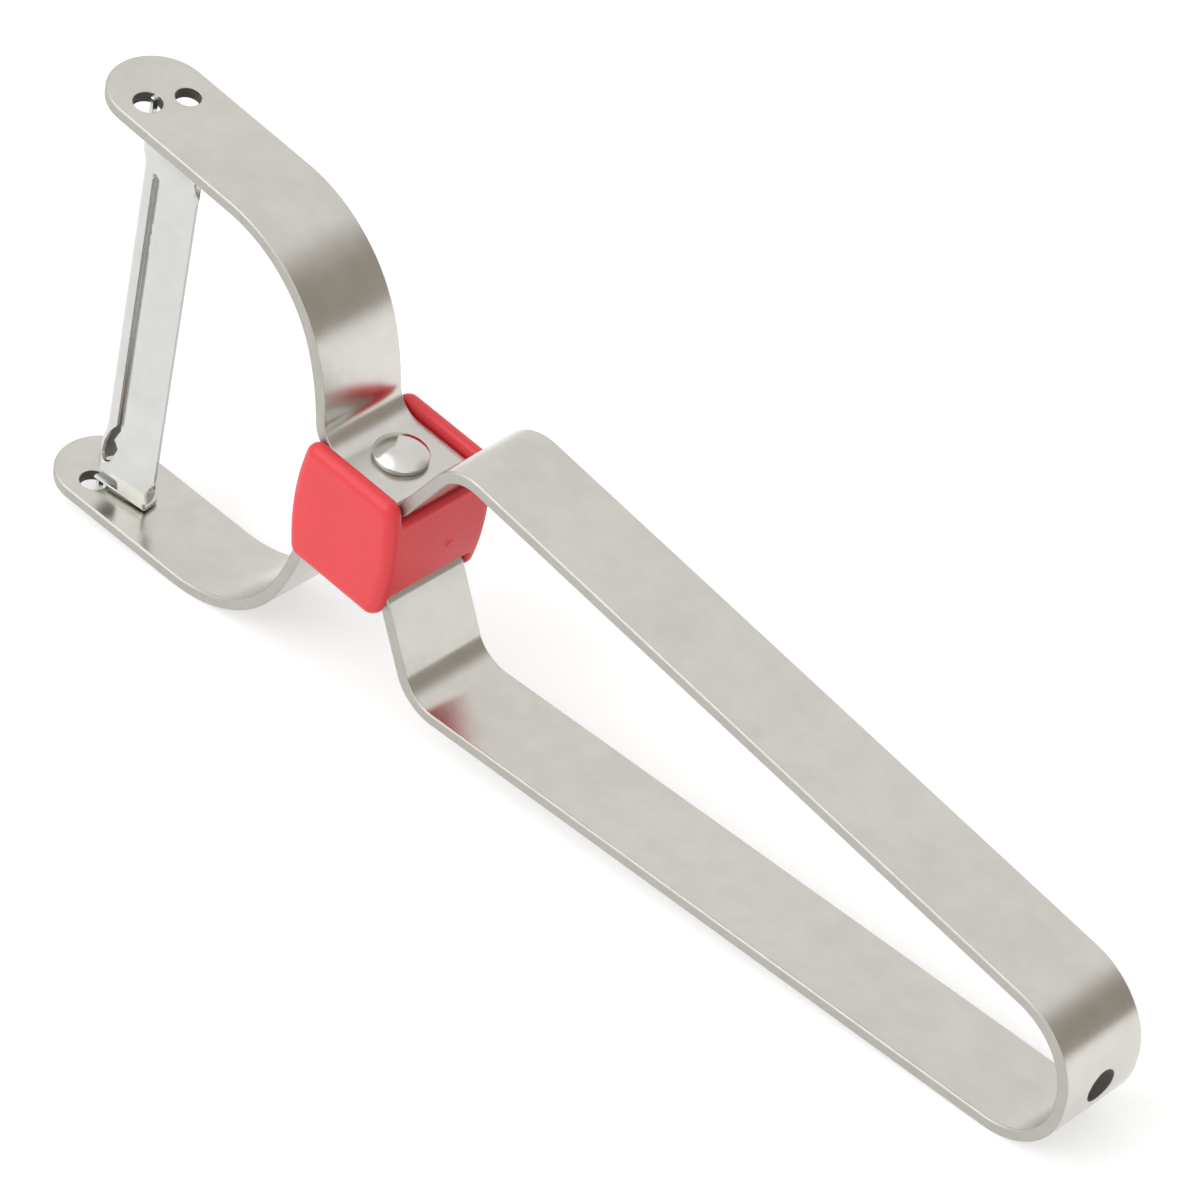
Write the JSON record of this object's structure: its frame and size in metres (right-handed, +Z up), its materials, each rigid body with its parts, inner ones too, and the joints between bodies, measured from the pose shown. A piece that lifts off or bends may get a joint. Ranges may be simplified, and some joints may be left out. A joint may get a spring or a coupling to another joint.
{
  "type": "swivel peeler",
  "caption": "Fork-headed swivel peeler: one bent steel strip makes the loop handle and the fork, with a plastic spacer block, a rivet and a swivelling slotted blade.",
  "frame": {"origin": "centre of the bounding box's base: the plane the peeler stands on, under the shoulder of the lower arm and the heel of the handle", "axes": "+Z up; +X from the fork towards the heel of the handle; +Y across the width of the strip. The peeler's own long axis leans 8.66 degrees about Y, because it stands on a wide fork and a narrow heel"},
  "size_m": [0.1598, 0.0164, 0.0619],
  "materials": {
    "strip_steel": "tumbled satin stainless strip with fine scratches and softly rounded edges",
    "block_plastic": "satin moulded red plastic with rounded edges",
    "rivet_steel": "bright plated steel with light scratches",
    "blade_steel": "bright rolled stainless sheet, ground along the cutting edge"
  },
  "bodies": {
    "frame": {"frame_strip": "strip_steel", "spacer_block": "block_plastic", "rivet": "rivet_steel"},
    "blade": {"blade": "blade_steel"}
  },
  "joints": [
    {"name": "blade_swivel", "type": "hinge", "parent": "frame", "child": "blade", "pos_m": [-0.06823, -0.0019, 0.03133], "axis": [0.1505, 0, 0.9886], "continuous": true}
  ]
}
